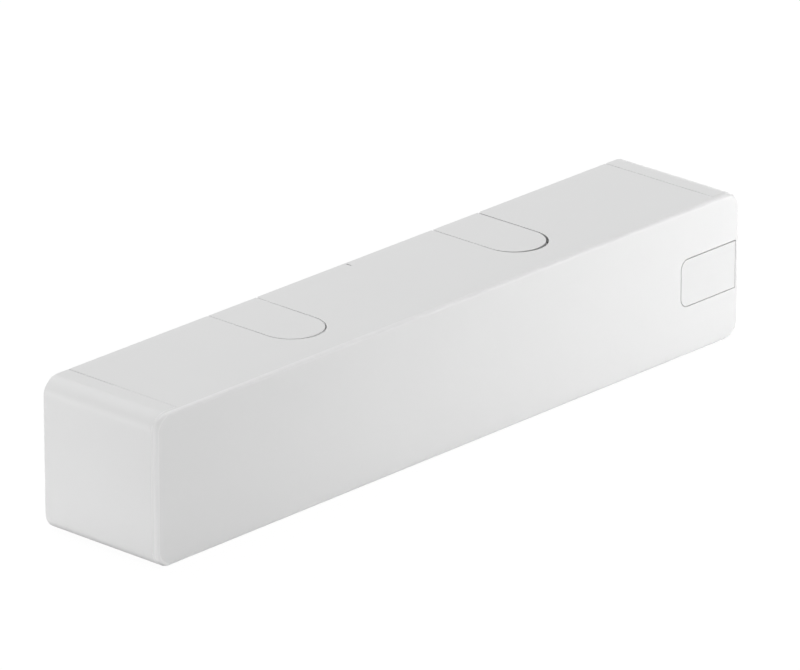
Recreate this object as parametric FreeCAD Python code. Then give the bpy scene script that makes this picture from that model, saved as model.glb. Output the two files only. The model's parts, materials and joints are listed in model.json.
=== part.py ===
import FreeCAD, Part
import math
import os
from FreeCAD import Vector

# Overhead door closer with a slip-on cover, in millimetres.
# Origin: the middle of the mounting face, which lies against the door.
# +X runs along the closer towards its closing spring, +Y into the door, +Z up.

os.makedirs("parts", exist_ok=True)

# Cover. Its depth and height follow from what it holds.
COVER_LENGTH = 337.0
COVER_WALL = 2.5
COVER_CORNER_R = 7.4        # the four corners of the front view
COVER_EDGE_R = 1.8          # the rounding round the front face
END_CAP_WIDTH = 13.7        # how far an end cap reaches along the top and bottom
END_CAP_SEAM = 0.25         # the hairline gap beside the end cap
LAP_LENGTH = 4.0            # tongue of the end cap under the front cover
LAP_THICKNESS = 1.2
COVER_GAP = 0.3             # cover to the plate and clips that it slips over
FRONT_ROOM = 1.3            # body to the inside of the front wall
END_ROOM = 16.0             # body to the inside of an end cap
CENTRE_MARK = (0.6, 2.6, 0.35)   # width, length and depth of the fitting mark
CENTRE_MARK_INSET = 0.9     # from the back edge

# Slots for the spindle and the tongues that close them
SLOT_WIDTH = 27.0
SLOT_MOUTH_R = 1.4
BLANK_GAP = 0.25
BLANK_NOSE_GAP = {"left": 0.15, "right": 0.5}   # further gap at the round end
BLANK_BACK_GAP = 0.5
BLANK_LIP_WIDTH = 1.6       # lip under the cover beyond the slot's edge
BLANK_LIP_THICKNESS = 1.2
BLANK_LIP_GAP = 0.1
BLANK_ROOM = 0.4            # above the spindle's end

# Badge recess at the right end of the front
BADGE_LENGTH = 32.8
BADGE_HEIGHT = 20.0
BADGE_THICKNESS = 0.8
BADGE_CORNER_R = 4.0
BADGE_GAP = 0.15
BADGE_END_INSET = 0.6       # from the start of the front rounding

# Mounting plate
PLATE_THICKNESS = 3.0
PLATE_ROOM = 2.4            # above and below the plate, where the lips pass
PLATE_CORNER_R = 5.0
DOOR_HOLE_SPACING_X = 222.0
DOOR_HOLE_SPACING_Z = 19.0
DOOR_HOLE_R = 3.0
DOOR_HOLE_HEAD_R = 5.0

# Body casting
BORE_R = 17.0
BORE_WALL = 3.8
CHAMBER_WALL = 3.5          # in front of and behind the cam's chamber
BACK_ROOM = 5.2             # plate to the back of the block round the spindle
HEAD_EDGE_R = 5.0
HEAD_END_WALL = 10.5        # block's end beyond the cam's chamber
COLLAR_LENGTH = 22.0        # square collar at the spring end
FOOT_LENGTH = 28.0          # foot under the body's end
FOOT_END_ROOM = 5.0         # foot to the inside of the end cap
FOOT_INSET = 2.5            # foot's edge inside the plate's edge
FOOT_THICKNESS = 9.0
FOOT_CORNER_R = 3.0
KEYWAY_WIDTH = 5.0
KEYWAY_DEPTH = 2.0
KEY_GAP = 0.3

# Screws that hold the body to the plate
BODY_SCREW_R = 2.5
BODY_SCREW_HEAD_R = 4.25
BODY_SCREW_HEAD_HEIGHT = 5.0
BODY_SCREW_SOCKET = 4.0     # across flats
BODY_SCREW_TO_FOOT_END = 5.5
BODY_SCREW_TO_FOOT_SIDE = 7.0
HOLE_GAP = 0.25
THREAD_GAP = 0.05

# Lift cam and its rollers
CAM_THICKNESS = 12.0
CAM_LEAST_WALL = 0.4        # cam outside the journal in its dimple
CAM_LIFT = 11.0             # over half a turn
CAM_GAP = 0.1               # roller to cam
CAM_TIP_R = 1.5             # rounding of the cam's point
CAM_ROOM = 1.0              # cam's point to its chamber
ROLLER_R = 9.0
ROLLER_THICKNESS = 11.6
ROLLER_PIN_R = 3.0
ROLLER_PIN_INSET = 2.5      # pin's end inside the piston's surface
RUNNING_GAP = 0.05          # shafts, rollers and pistons
PIN_GAP = 0.02

# Spindle and its bearings
JOURNAL_R = 8.0
SQUARE_WIDTH = 11.0
SQUARE_LENGTH = 5.2         # square end beyond the bearing cap
ARM_THREAD_R = 2.5
ARM_THREAD_DEPTH = 12.0
BEARING_WALL = 2.5
SEAL_TO_BEARING = 0.3
BOSS_WALL = 1.7
BOSS_ROOM = 1.6             # cam to the bearing's boss
CAP_ROOM = 0.3              # piston to the bearing cap
CAP_FLANGE_INSET = 3.0
CAP_FLANGE_THICKNESS = 1.2
CAP_LIP = 0.6
SEAL_LENGTH = 2.0
SPANNER_SLOTS = 6
SPANNER_SLOT_WIDTH = 3.0

# Pistons
FORK_ROOM = 0.8             # fork to the bearing's boss
FORK_GAP = 0.4              # fork to the cam's faces
POCKET_GAP = 0.5            # roller to the end of its pocket
OPENING_HEAD = 12.5         # solid length behind the pocket
DAMPER_HEAD = 15.5
PISTON_SEAL_WIDTH = 2.8
PISTON_SEAL_DEPTH = 1.9
SEAL_GAP = 0.05
PISTON_EDGE = 0.8

# One-way ball valve in the damper piston
BALL_R = 2.4
BALL_HOLE_R = 1.4
BALL_SIDE_GAP = 0.4
BALL_LIFT = 0.8
RETAINER_THICKNESS = 1.2
RETAINER_HOLE_R = 1.2

# Springs and the power adjustment
SPRING_WIRE_R = 2.75
SPRING_SIDE_GAP = 0.65      # closing spring to the bore
SPRING_TURNS = 10.5
SPRING_GAP = 0.1
COIL_RUNS = 16              # straight runs in one turn
COIL_SIDES = 6              # sides of the wire
DAMPER_WIRE_R = 1.2
DAMPER_SIDE_GAP = 4.8       # damper spring to the bore
DAMPER_TURNS = 4.5
DAMPER_SPRING_LENGTH = 19.2
SPRING_PLATE_THICKNESS = 8.0
ADJUST_TRAVEL = 16.0
ADJUSTER_R = 4.0
ADJUSTER_COLLAR_R = 7.5
ADJUSTER_COLLAR_THICKNESS = 3.0
ADJUSTER_SPARE = 6.0        # thread beyond the spring plate's travel
ADJUSTER_END = 2.0          # beyond the plug's head
ADJUSTER_SOCKET = 5.0
PLATE_TO_PLUG = 11.0        # spring plate to end plug, slackest setting

# End plugs
PLUG_LENGTH = 13.0
PLUG_HEAD_FLATS = 27.0
PLUG_HEAD_THICKNESS = 4.0
PLUG_SEAL_WIDTH = 2.4
PLUG_SEAL_DEPTH = 1.6

# Regulating valves, screwed in from the front
VALVE_R = 3.0
VALVE_LENGTH = 11.0
VALVE_TIP = 2.0
VALVE_WALL = 1.4            # beside the valve
VALVE_SEAL_WIDTH = 1.4
VALVE_SEAL_DEPTH = 0.9
VALVE_SOCKET = 2.5
VALVE_DUCT_R = 0.9
CLOSING_VALVE_TO_SPINDLE = 39.0
BACKCHECK_VALVE_TO_SPINDLE = 46.0
LATCHING_VALVE_TO_SPINDLE = 53.0

# Spring clips for the cover
CLIP_THICKNESS = 1.0
CLIP_WIDTH = 18.0
CLIP_BASE = 9.0
CLIP_LEG = 19.0
CLIP_RIDGE_R = 1.4
CLIP_TO_FOOT = 8.0
CLIP_RIVET_R = 1.6
CLIP_RIVET_HEAD_R = 2.8
CLIP_RIVET_HEAD = 1.0

# Spindle, cam and pistons, worked out from the sizes above
BEARING_R = JOURNAL_R + BEARING_WALL
BOSS_R = BEARING_R + BOSS_WALL
CAM_LEAST_PITCH_R = JOURNAL_R + CAM_LEAST_WALL + CAM_GAP + ROLLER_R
CAM_MOST_PITCH_R = CAM_LEAST_PITCH_R + CAM_LIFT
CAM_SLOPE = CAM_LIFT / math.pi                     # mm of lift per radian
CAM_CHAMBER_R = CAM_MOST_PITCH_R - ROLLER_R + CAM_ROOM
FORK_NOSE = CAM_LEAST_PITCH_R - BOSS_R - FORK_ROOM  # beyond the roller's pin
POCKET_END = ROLLER_R + POCKET_GAP                 # from the roller's pin
BALL_CHAMBER_R = BALL_R + BALL_SIDE_GAP
HEAD_DEPTH = 2 * (CAM_CHAMBER_R + CHAMBER_WALL)
HEAD_HALF_HEIGHT = BORE_R + BORE_WALL
CAP_INNER_Z = BORE_R + CAP_ROOM
CAP_OUTER_Z = HEAD_HALF_HEIGHT + CAP_FLANGE_THICKNESS
CAP_FLANGE_R = CAM_CHAMBER_R - CAP_FLANGE_INSET
BOSS_TO_MIDDLE = CAM_THICKNESS / 2 + BOSS_ROOM
BEARING_LENGTH = CAP_OUTER_Z - CAP_LIP - SEAL_LENGTH - SEAL_TO_BEARING - BOSS_TO_MIDDLE
SPINDLE_HALF_LENGTH = CAP_OUTER_Z + SQUARE_LENGTH

# Valves: distance from the spindle's axis, and side
VALVES = {
    "closing_speed_valve": (CLOSING_VALVE_TO_SPINDLE, 1),
    "latching_speed_valve": (LATCHING_VALVE_TO_SPINDLE, 1),
    "backcheck_valve": (BACKCHECK_VALVE_TO_SPINDLE, -1),
}

# Cover and plate round the body
SPINDLE_TO_DOOR = PLATE_THICKNESS + BACK_ROOM + HEAD_DEPTH / 2
COVER_DEPTH = SPINDLE_TO_DOOR + HEAD_DEPTH / 2 + FRONT_ROOM + COVER_WALL        # 60 mm
INSIDE_HALF_HEIGHT = SPINDLE_HALF_LENGTH + BLANK_ROOM + BLANK_LIP_THICKNESS + BLANK_LIP_GAP
HALF_HEIGHT = INSIDE_HALF_HEIGHT + COVER_WALL
COVER_HEIGHT = 2 * HALF_HEIGHT                                                 # 62.8 mm
HALF_LENGTH = COVER_LENGTH / 2
PLATE_HEIGHT = 2 * (INSIDE_HALF_HEIGHT - PLATE_ROOM)
FOOT_HEIGHT = PLATE_HEIGHT - 2 * FOOT_INSET
FOOT_REACH = END_ROOM - FOOT_END_ROOM

# Places along the body, from its left end
BODY_END = HALF_LENGTH - COVER_WALL - END_ROOM
PLUG_FACE = BODY_END - PLUG_LENGTH
DAMPER_TAIL = DAMPER_SPRING_LENGTH - PLUG_FACE
DAMPER_PIN_X = DAMPER_TAIL + DAMPER_HEAD + POCKET_END
SPINDLE_X = DAMPER_PIN_X + CAM_MOST_PITCH_R
AXIS_Y = -SPINDLE_TO_DOOR
OPENING_PIN_X = SPINDLE_X + CAM_LEAST_PITCH_R
OPENING_TAIL = OPENING_PIN_X + POCKET_END + OPENING_HEAD
SPRING_PLATE_X = PLUG_FACE - PLATE_TO_PLUG - SPRING_PLATE_THICKNESS
KEYWAY_X = SPRING_PLATE_X - ADJUST_TRAVEL
ADJUSTER_X = KEYWAY_X - ADJUSTER_SPARE
HEAD_FRONT = AXIS_Y - HEAD_DEPTH / 2
SCREW_X = BODY_END + FOOT_REACH - BODY_SCREW_TO_FOOT_END
SCREW_Z = FOOT_HEIGHT / 2 - BODY_SCREW_TO_FOOT_SIDE
VALVE_OFFSET_Z = HEAD_HALF_HEIGHT - VALVE_R - VALVE_WALL
CLIP_X = BODY_END - FOOT_LENGTH - CLIP_TO_FOOT - CLIP_WIDTH / 2
BIG = 2 * COVER_LENGTH                             # longer than any piece

X_AXIS = Vector(1, 0, 0)
Y_AXIS = Vector(0, 1, 0)
Z_AXIS = Vector(0, 0, 1)


# Helpers
def save(node, *solids):
    shape = solids[0] if len(solids) == 1 else Part.makeCompound(list(solids))
    shape.exportStep("parts/" + node + ".step")


def block(x0, x1, y0, y1, z0, z1):
    return Part.makeBox(x1 - x0, y1 - y0, z1 - z0, Vector(x0, y0, z0))


def rod(r, x0, x1, y=AXIS_Y, z=0.0):
    """Cylinder along X."""
    return Part.makeCylinder(r, x1 - x0, Vector(x0, y, z), X_AXIS)


def post(r, z0, z1, x=SPINDLE_X, y=AXIS_Y):
    """Cylinder along Z."""
    return Part.makeCylinder(r, z1 - z0, Vector(x, y, z0), Z_AXIS)


def peg(r, y0, y1, x, z):
    """Cylinder along Y."""
    return Part.makeCylinder(r, y1 - y0, Vector(x, y0, z), Y_AXIS)


def ring(outer, inner, x0, x1):
    """Ring round the bore's axis."""
    return rod(outer, x0, x1).cut(rod(inner, x0, x1))


def rounded_bar(x0, x1, z0, z1, r, y0, y1):
    """Prism along Y with a rounded rectangle in the front view."""
    bar = block(x0, x1, y0, y1, z0, z1)
    return bar.makeFillet(r, edges_along(bar, Y_AXIS))


def edges_along(shape, axis):
    return [e for e in shape.Edges if is_line_along(e, axis)]


def is_line_along(edge, axis):
    if edge.Curve.TypeId != "Part::GeomLine":
        return False
    return abs(edge.tangentAt(edge.FirstParameter).dot(axis)) > 0.999


def edges_at(shape, measure, value):
    """Edges that lie wholly where measure(point) is value."""
    found = []
    for e in shape.Edges:
        ends = [e.valueAt(e.FirstParameter), e.valueAt(e.LastParameter)]
        ends.append(e.valueAt((e.FirstParameter + e.LastParameter) / 2))
        if all(abs(measure(p) - value) < 1e-4 for p in ends):
            found.append(e)
    return found


def mirrored_z(shape):
    return shape.mirror(Vector(0, 0, 0), Z_AXIS)


def mirrored_x(shape):
    return shape.mirror(Vector(0, 0, 0), X_AXIS)


def polygon(r, sides, centre, axis):
    """Closed polygon of straight sides round centre, square to axis."""
    first = X_AXIS if abs(axis.x) < 0.5 else Z_AXIS
    across = axis.cross(first).normalize()
    up = axis.cross(across).normalize()
    turns = [2 * math.pi * i / sides for i in range(sides + 1)]
    return Part.makePolygon([centre + across * (r * math.cos(t)) + up * (r * math.sin(t)) for t in turns])


def hexagon(flats, centre, axis, length):
    """Hexagonal prism from centre along axis."""
    outline = polygon(flats / 2 / math.cos(math.pi / 6), 6, centre, axis)
    return Part.Face(outline).extrude(axis * length)


def coil(wire_r, mean_r, turns, x0, x1):
    """Coil spring along X between two planes, wound in short straight runs."""
    length = x1 - x0 - 2 * wire_r
    runs = round(turns * COIL_RUNS)
    points = []
    for i in range(runs + 1):
        turn = 2 * math.pi * turns * i / runs
        y, z = mean_r * math.cos(turn), mean_r * math.sin(turn)
        points.append(Vector(x0 + wire_r + length * i / runs, AXIS_Y + y, z))
    start = (points[1] - points[0]).normalize()
    sweep = Part.BRepOffsetAPI.MakePipeShell(Part.makePolygon(points))
    sweep.setTransitionMode(1)
    sweep.add(polygon(wire_r, COIL_SIDES, points[0], start), False, True)
    sweep.build()
    sweep.makeSolid()
    return sweep.shape()


# Cover
def slot_face(x, half_width, nose_y, back_y, mouth_r):
    """U outline in the XY plane: round end at nose_y, open at back_y."""
    mid_y = nose_y + half_width
    flare = half_width + mouth_r
    k = mouth_r * (1 - math.sqrt(0.5))
    left, right = x - half_width, x + half_width
    edges = [Part.Arc(Vector(left, mid_y, 0), Vector(x, nose_y, 0), Vector(right, mid_y, 0)).toShape()]
    edges.append(Part.makeLine(Vector(right, mid_y, 0), Vector(right, back_y - mouth_r, 0)))
    if mouth_r:
        low, mid = Vector(right, back_y - mouth_r, 0), Vector(right + k, back_y - k, 0)
        edges.append(Part.Arc(low, mid, Vector(x + flare, back_y, 0)).toShape())
    edges.append(Part.makeLine(Vector(x + flare, back_y, 0), Vector(x - flare, back_y, 0)))
    if mouth_r:
        low, mid = Vector(left, back_y - mouth_r, 0), Vector(left - k, back_y - k, 0)
        edges.append(Part.Arc(Vector(x - flare, back_y, 0), mid, low).toShape())
    edges.append(Part.makeLine(Vector(left, back_y - mouth_r, 0), Vector(left, mid_y, 0)))
    return Part.Face(Part.Wire(edges))


def slot_cutters():
    half = SLOT_WIDTH / 2
    cutters = []
    for x in (SPINDLE_X, -SPINDLE_X):
        face = slot_face(x, half, AXIS_Y - half, 0.0, SLOT_MOUTH_R)
        face.translate(Vector(0, 0, -COVER_HEIGHT))
        cutters.append(face.extrude(Z_AXIS * (2 * COVER_HEIGHT)))
    return cutters


def cover_shell():
    """Whole cover before it is divided: five walls, open at the back."""
    span = (-HALF_LENGTH, HALF_LENGTH, -HALF_HEIGHT, HALF_HEIGHT)
    outer = rounded_bar(*span, COVER_CORNER_R, -COVER_DEPTH, 0.0)
    front = edges_at(outer, lambda p: p.y, -COVER_DEPTH)
    outer = outer.makeFillet(COVER_EDGE_R, front)
    x, z = HALF_LENGTH - COVER_WALL, INSIDE_HALF_HEIGHT
    inner_r = COVER_CORNER_R - COVER_WALL
    hollow = rounded_bar(-x, x, -z, z, inner_r, COVER_WALL - COVER_DEPTH, COVER_WALL)
    return outer.cut(hollow)


def end_region(width):
    """Space of the left end cap, behind the front wall."""
    x = width - HALF_LENGTH
    return block(-BIG, x, COVER_WALL - COVER_DEPTH, BIG, -BIG, BIG)


def badge_solid(gap, depth):
    """Badge outline: round left corners, square right ones."""
    right = HALF_LENGTH - COVER_EDGE_R - BADGE_END_INSET + gap
    left = right - BADGE_LENGTH - 2 * gap
    half = BADGE_HEIGHT / 2 + gap
    plate = block(left, right, -COVER_DEPTH, depth - COVER_DEPTH, -half, half)
    corners = [e for e in edges_along(plate, Y_AXIS) if e.Vertexes[0].X < (left + right) / 2]
    return plate.makeFillet(BADGE_CORNER_R + gap, corners)


def centre_mark(side):
    """Shallow groove at mid-length, near the back edge."""
    width, length, depth = CENTRE_MARK
    y1 = -CENTRE_MARK_INSET
    mark = block(-width / 2, width / 2, y1 - length, y1, HALF_HEIGHT - depth, COVER_HEIGHT)
    return mark if side > 0 else mirrored_z(mark)


def front_cover():
    cover = cover_shell()
    ends = end_region(END_CAP_WIDTH + END_CAP_SEAM)
    cutters = slot_cutters() + [ends, mirrored_x(ends), centre_mark(1), centre_mark(-1)]
    cutters.append(badge_solid(BADGE_GAP, BADGE_THICKNESS))
    return cover.cut(cutters)


def end_cap_left():
    cap = cover_shell().common(end_region(END_CAP_WIDTH))
    seam = END_CAP_WIDTH - HALF_LENGTH
    z1 = INSIDE_HALF_HEIGHT - BLANK_LIP_GAP
    y0 = COVER_WALL - COVER_DEPTH + COVER_GAP
    lap = block(seam - LAP_LENGTH, seam + LAP_LENGTH, y0, 0.0, z1 - LAP_THICKNESS, z1)
    carrier = block(seam - LAP_LENGTH, seam, y0, 0.0, z1 - LAP_THICKNESS, INSIDE_HALF_HEIGHT)
    tongue = lap.fuse(carrier)
    return cap.fuse([tongue, mirrored_z(tongue)]).removeSplitter()


def slot_blank(x, nose_gap):
    """Tongue that fills one slot, with a lip under the cover's wall."""
    half = SLOT_WIDTH / 2
    nose = AXIS_Y - half + BLANK_GAP + nose_gap
    face = slot_face(x, half - BLANK_GAP, nose, nose_gap - BLANK_BACK_GAP, 0.0)
    face.translate(Vector(0, 0, INSIDE_HALF_HEIGHT - BLANK_LIP_GAP - BLANK_LIP_THICKNESS))
    tongue = face.extrude(Z_AXIS * (COVER_WALL + BLANK_LIP_GAP + BLANK_LIP_THICKNESS))
    lip_nose = nose - BLANK_LIP_WIDTH
    lip = slot_face(x, half + BLANK_LIP_WIDTH, lip_nose, nose_gap - BLANK_BACK_GAP, 0.0)
    lip.translate(Vector(0, 0, INSIDE_HALF_HEIGHT - BLANK_LIP_GAP - BLANK_LIP_THICKNESS))
    return tongue.fuse(lip.extrude(Z_AXIS * BLANK_LIP_THICKNESS)).removeSplitter()


def save_cover():
    save("front_cover", front_cover())
    cap = end_cap_left()
    save("end_cap_left", cap)
    save("end_cap_right", mirrored_x(cap))
    save("badge_plate", badge_solid(0.0, BADGE_THICKNESS))
    for side, x in (("left", SPINDLE_X), ("right", -SPINDLE_X)):
        blank = slot_blank(x, BLANK_NOSE_GAP[side])
        save("slot_blank_top_" + side, blank)
        save("slot_blank_bottom_" + side, mirrored_z(blank))


# Mounting plate, clips and body screws
def body_screw_places():
    return [(sx * SCREW_X, sz * SCREW_Z) for sx in (-1, 1) for sz in (-1, 1)]


def clip_places():
    return [(i * CLIP_X, side) for i in (-1, 0, 1) for side in (-1, 1)]


def clip_rivet_z():
    return PLATE_HEIGHT / 2 - CLIP_BASE / 2


def mounting_plate():
    half_x = HALF_LENGTH - COVER_WALL - COVER_GAP
    half_z = PLATE_HEIGHT / 2
    plate = rounded_bar(-half_x, half_x, -half_z, half_z, PLATE_CORNER_R, -PLATE_THICKNESS, 0.0)
    cutters = []
    head_depth = DOOR_HOLE_HEAD_R - DOOR_HOLE_R
    for sx in (-1, 1):
        for sz in (-1, 1):
            x, z = sx * DOOR_HOLE_SPACING_X / 2, sz * DOOR_HOLE_SPACING_Z / 2
            cutters.append(peg(DOOR_HOLE_R, -PLATE_THICKNESS, 0.0, x, z))
            front = Vector(x, -PLATE_THICKNESS, z)
            cutters.append(Part.makeCone(DOOR_HOLE_HEAD_R, DOOR_HOLE_R, head_depth, front, Y_AXIS))
    for x, z in body_screw_places():
        cutters.append(peg(BODY_SCREW_R + THREAD_GAP, -PLATE_THICKNESS, 0.0, x, z))
    for x, side in clip_places():
        cutters.append(peg(CLIP_RIVET_R + THREAD_GAP, -PLATE_THICKNESS, 0.0, x, side * clip_rivet_z()))
    return plate.cut(cutters)


def cover_clip(x):
    """Bent strip: a base on the plate, a leg forward and a ridge against the cover."""
    y1 = -PLATE_THICKNESS
    y0 = y1 - CLIP_THICKNESS
    top = INSIDE_HALF_HEIGHT - COVER_GAP
    leg_top = top - CLIP_RIDGE_R / 2
    x0, x1 = x - CLIP_WIDTH / 2, x + CLIP_WIDTH / 2
    base = block(x0, x1, y0, y1, PLATE_HEIGHT / 2 - CLIP_BASE, leg_top)
    leg = block(x0, x1, y0 - CLIP_LEG, y1, leg_top - CLIP_THICKNESS, leg_top)
    ridge = rod(CLIP_RIDGE_R, x0, x1, y0 - CLIP_LEG * 0.7, top - CLIP_RIDGE_R)
    ridge = ridge.common(block(x0, x1, -BIG, BIG, leg_top - CLIP_THICKNESS, BIG))
    hole = peg(CLIP_RIVET_R + THREAD_GAP, y0, y1, x, clip_rivet_z())
    return base.fuse([leg, ridge]).cut(hole).removeSplitter()


def clip_rivet(x):
    y = -PLATE_THICKNESS - CLIP_THICKNESS
    shank = peg(CLIP_RIVET_R, y, 0.0, x, clip_rivet_z())
    head = peg(CLIP_RIVET_HEAD_R, y - CLIP_RIVET_HEAD, y, x, clip_rivet_z())
    rim = edges_at(head, lambda p: p.y, y - CLIP_RIVET_HEAD)
    return head.makeChamfer(CLIP_RIVET_HEAD * 0.6, rim).fuse(shank)


def body_screw(x, z):
    face_y = -PLATE_THICKNESS - FOOT_THICKNESS
    head = peg(BODY_SCREW_HEAD_R, face_y - BODY_SCREW_HEAD_HEIGHT, face_y, x, z)
    shank = peg(BODY_SCREW_R, face_y, -THREAD_GAP, x, z)
    top = Vector(x, face_y - BODY_SCREW_HEAD_HEIGHT, z)
    socket = hexagon(BODY_SCREW_SOCKET, top, Y_AXIS, BODY_SCREW_HEAD_HEIGHT / 2)
    return head.fuse(shank).cut(socket)


def save_plate():
    save("mounting_plate", mounting_plate())
    save("body_screws", *[body_screw(x, z) for x, z in body_screw_places()])
    clips, rivets = [], []
    for x, side in clip_places():
        clip, rivet = cover_clip(x), clip_rivet(x)
        clips.append(clip if side > 0 else mirrored_z(clip))
        rivets.append(rivet if side > 0 else mirrored_z(rivet))
    save("cover_clips", *clips)
    save("clip_rivets", *rivets)


# Body casting
def head_block(x0, x1):
    """Length of the casting with a rounded square section."""
    half = HEAD_HALF_HEIGHT
    bar = block(x0, x1, HEAD_FRONT, HEAD_FRONT + HEAD_DEPTH, -half, half)
    return bar.makeFillet(HEAD_EDGE_R, edges_along(bar, X_AXIS))


def foot(side):
    x0, x1 = BODY_END - FOOT_LENGTH, BODY_END + FOOT_REACH
    half = FOOT_HEIGHT / 2
    y1 = -PLATE_THICKNESS
    bar = rounded_bar(x0, x1, -half, half, FOOT_CORNER_R, y1 - FOOT_THICKNESS, y1)
    return bar if side > 0 else mirrored_x(bar)


def valve_place(name):
    offset, side = VALVES[name]
    return SPINDLE_X - offset, side * VALVE_OFFSET_Z


def body_housing():
    barrel = rod(HEAD_HALF_HEIGHT, -BODY_END, BODY_END)
    head = head_block(-BODY_END, SPINDLE_X + CAM_CHAMBER_R + HEAD_END_WALL)
    collar = head_block(BODY_END - COLLAR_LENGTH, BODY_END)
    body = barrel.fuse([head, collar, foot(-1), foot(1)])
    cutters = [rod(BORE_R, -BODY_END, BODY_END)]
    cutters.append(post(CAM_CHAMBER_R, -HEAD_HALF_HEIGHT, HEAD_HALF_HEIGHT))
    reach = BORE_R + KEYWAY_DEPTH
    half = KEYWAY_WIDTH / 2
    cutters.append(block(KEYWAY_X, BODY_END, AXIS_Y - reach, AXIS_Y + reach, -half, half))
    for x, z in body_screw_places():
        cutters.append(peg(BODY_SCREW_R + HOLE_GAP, -BIG, 0.0, x, z))
    for name in VALVES:
        x, z = valve_place(name)
        end = HEAD_FRONT + VALVE_LENGTH + RUNNING_GAP
        cutters.append(peg(VALVE_R + RUNNING_GAP, HEAD_FRONT, end, x, z))
        duct = Vector(x, end - VALVE_TIP, 0)
        height = VALVE_OFFSET_Z if z > 0 else -VALVE_OFFSET_Z
        cutters.append(Part.makeCylinder(VALVE_DUCT_R, abs(height), duct, Z_AXIS * math.copysign(1, z)))
    return body.cut(cutters).removeSplitter()


def valve(name):
    """Regulating screw with a cone tip, a seal groove and a hexagon socket."""
    x, z = valve_place(name)
    y0 = HEAD_FRONT
    y1 = y0 + VALVE_LENGTH
    body = peg(VALVE_R, y0, y1 - VALVE_TIP, x, z)
    tip = Part.makeCone(VALVE_R, VALVE_R / 3, VALVE_TIP, Vector(x, y1 - VALVE_TIP, z), Y_AXIS)
    groove0 = y0 + VALVE_LENGTH / 2
    groove = valve_ring(x, z, groove0, VALVE_R, VALVE_SEAL_WIDTH)
    socket = hexagon(VALVE_SOCKET, Vector(x, y0, z), Y_AXIS, VALVE_LENGTH / 4)
    return body.fuse(tip).cut([groove, socket])


def valve_ring(x, z, y, outer, width):
    tube = peg(outer, y, y + width, x, z)
    return tube.cut(peg(VALVE_R - VALVE_SEAL_DEPTH, y, y + width, x, z))


def valve_seal(name):
    x, z = valve_place(name)
    y = HEAD_FRONT + VALVE_LENGTH / 2
    outer = peg(VALVE_R, y + SEAL_GAP, y + VALVE_SEAL_WIDTH - SEAL_GAP, x, z)
    return outer.cut(peg(VALVE_R - VALVE_SEAL_DEPTH + SEAL_GAP, y, y + VALVE_SEAL_WIDTH, x, z))


def end_plug(side):
    """Screwed plug with a hexagonal head; the one at the spring end is drilled."""
    plug = rod(BORE_R - THREAD_GAP, PLUG_FACE, BODY_END)
    head = hexagon(PLUG_HEAD_FLATS, Vector(BODY_END, AXIS_Y, 0), X_AXIS, PLUG_HEAD_THICKNESS)
    seal_x = (PLUG_FACE + BODY_END) / 2
    groove = ring(BORE_R, BORE_R - PLUG_SEAL_DEPTH, seal_x, seal_x + PLUG_SEAL_WIDTH)
    plug = plug.fuse(head).cut(groove)
    if side > 0:
        return plug.cut(rod(ADJUSTER_R + RUNNING_GAP, PLUG_FACE, BODY_END + PLUG_HEAD_THICKNESS))
    return mirrored_x(plug)


def end_plug_seal():
    x = (PLUG_FACE + BODY_END) / 2
    inner = BORE_R - PLUG_SEAL_DEPTH + SEAL_GAP
    return ring(BORE_R - THREAD_GAP, inner, x + SEAL_GAP, x + PLUG_SEAL_WIDTH - SEAL_GAP)


def save_body():
    save("body_housing", body_housing())
    save("damper_end_plug", end_plug(-1))
    save("spring_end_plug", end_plug(1))
    seal = end_plug_seal()
    save("end_plug_seals", mirrored_x(seal), seal)
    for name in VALVES:
        save(name, valve(name))
    save("valve_seals", *[valve_seal(name) for name in VALVES])


# Spindle, cam and bearings
def cam_point(turn, offset):
    """Point of the cam at an angle from the dimple, inside the roller's path by offset."""
    r = CAM_LEAST_PITCH_R + CAM_SLOPE * turn
    along = Vector(math.cos(turn), math.sin(turn), 0)
    across = Vector(-math.sin(turn), math.cos(turn), 0)
    tangent = along * CAM_SLOPE + across * r
    inward = Vector(-tangent.y, tangent.x, 0).normalize()
    return along * r + inward * offset


def cam_face():
    """Heart-shaped cam: rollers on opposite sides stay the same distance apart."""
    offset = ROLLER_R + CAM_GAP
    steps = 24
    tip_turn = cam_tip_turn(offset)
    flank = [cam_point(tip_turn * i / steps, offset) for i in range(steps + 1)]
    other = [Vector(p.x, -p.y, 0) for p in reversed(flank)]
    upper, lower = Part.BSplineCurve(), Part.BSplineCurve()
    upper.interpolate(flank)
    lower.interpolate(other)
    dimple_mid = Vector(CAM_LEAST_PITCH_R - offset, 0, 0)
    dimple = Part.Arc(other[-1], dimple_mid, flank[0])
    return Part.Face(Part.Wire([upper.toShape(), lower.toShape(), dimple.toShape()]))


def cam_tip_turn(offset):
    """Angle at which the two flanks meet on the cam's axis, by halving."""
    low, high = math.pi / 2, math.pi
    for _ in range(50):
        mid = (low + high) / 2
        if cam_point(mid, offset).y > 0:
            low = mid
        else:
            high = mid
    return low


def lift_cam():
    cam = cam_face().extrude(Z_AXIS * CAM_THICKNESS)
    tip_x = cam.BoundBox.XMin
    tip = [e for e in edges_along(cam, Z_AXIS) if abs(e.Vertexes[0].X - tip_x) < 0.01]
    cam = cam.makeFillet(CAM_TIP_R, tip)
    cam.translate(Vector(SPINDLE_X, AXIS_Y, -CAM_THICKNESS / 2))
    return cam


def cam_spindle():
    half = SPINDLE_HALF_LENGTH
    journal = half - SQUARE_LENGTH
    shaft = post(JOURNAL_R, -journal, journal)
    width = SQUARE_WIDTH / 2
    square = block(SPINDLE_X - width, SPINDLE_X + width, AXIS_Y - width, AXIS_Y + width, -half, half)
    threads = [post(ARM_THREAD_R, half - ARM_THREAD_DEPTH, half)]
    threads.append(post(ARM_THREAD_R, -half, ARM_THREAD_DEPTH - half))
    return shaft.fuse([square, lift_cam()]).cut(threads).removeSplitter()


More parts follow.
